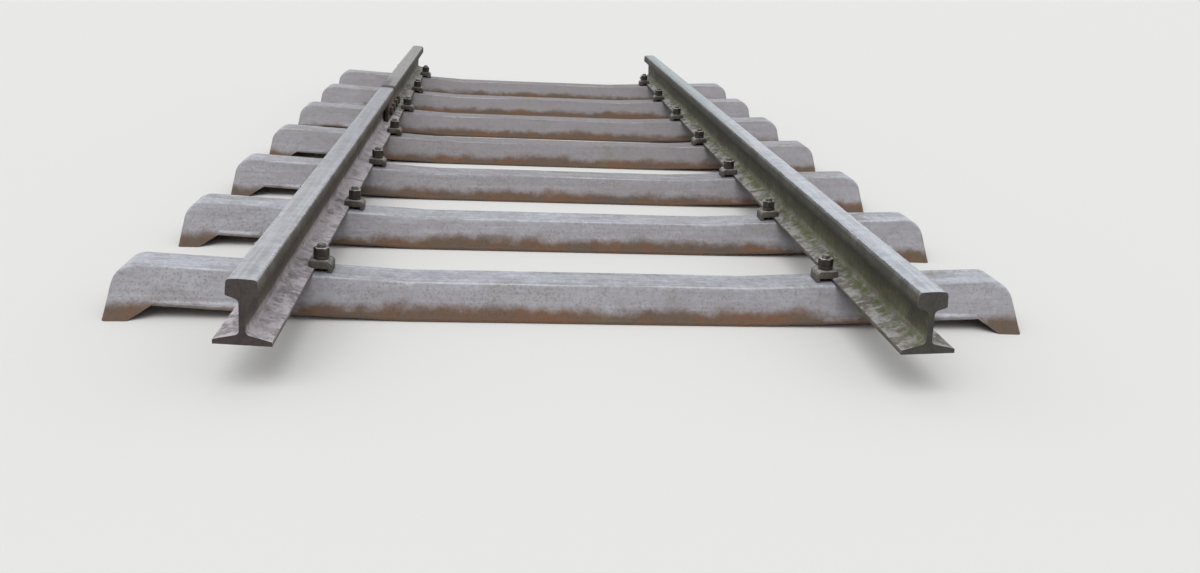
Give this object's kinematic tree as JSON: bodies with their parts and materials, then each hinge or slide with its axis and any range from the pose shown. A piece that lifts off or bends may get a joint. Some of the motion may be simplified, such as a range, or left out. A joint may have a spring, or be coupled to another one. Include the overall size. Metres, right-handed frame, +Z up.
{
  "type": "railway track end on steel trough sleepers",
  "caption": "Cut end of a standard-gauge railway track: flat-bottom rails bolted with clamp plates to pressed steel trough sleepers, with a fishplated joint in one rail.",
  "frame": {"origin": "middle of the track and of its length, on the ground plane under the sleepers' toes", "axes": "+X to the right across the track seen from its cut end, +Y along the track away from that end, +Z up"},
  "size_m": [2.4, 4.775, 0.2525],
  "materials": {
    "sleeper_steel": "dull weathered grey-brown scale",
    "rail_steel": "dark rust brown with a dull grey running surface",
    "clamp_steel": "dull weathered grey",
    "bolt_steel": "black-brown rust",
    "fishplate_steel": "dark brown rust"
  },
  "bodies": {
    "root": {"sleeper_1": "sleeper_steel", "sleeper_2": "sleeper_steel", "sleeper_3": "sleeper_steel", "sleeper_4": "sleeper_steel", "sleeper_5": "sleeper_steel", "sleeper_6": "sleeper_steel", "sleeper_7": "sleeper_steel", "left_rail_front": "rail_steel", "left_rail_rear": "rail_steel", "right_rail": "rail_steel", "clamp_plates_1": "clamp_steel", "clamp_plates_2": "clamp_steel", "clamp_plates_3": "clamp_steel", "clamp_plates_4": "clamp_steel", "clamp_plates_5": "clamp_steel", "clamp_plates_6": "clamp_steel", "clamp_plates_7": "clamp_steel", "hook_bolts_1": "bolt_steel", "hook_bolts_2": "bolt_steel", "hook_bolts_3": "bolt_steel", "hook_bolts_4": "bolt_steel", "hook_bolts_5": "bolt_steel", "hook_bolts_6": "bolt_steel", "hook_bolts_7": "bolt_steel", "spring_washers_1": "bolt_steel", "spring_washers_2": "bolt_steel", "spring_washers_3": "bolt_steel", "spring_washers_4": "bolt_steel", "spring_washers_5": "bolt_steel", "spring_washers_6": "bolt_steel", "spring_washers_7": "bolt_steel", "nuts_1": "bolt_steel", "nuts_2": "bolt_steel", "nuts_3": "bolt_steel", "nuts_4": "bolt_steel", "nuts_5": "bolt_steel", "nuts_6": "bolt_steel", "nuts_7": "bolt_steel", "inner_fishplate": "fishplate_steel", "outer_fishplate": "fishplate_steel", "fishplate_bolts": "bolt_steel", "fishplate_nuts": "bolt_steel"}
  },
  "joints": []
}
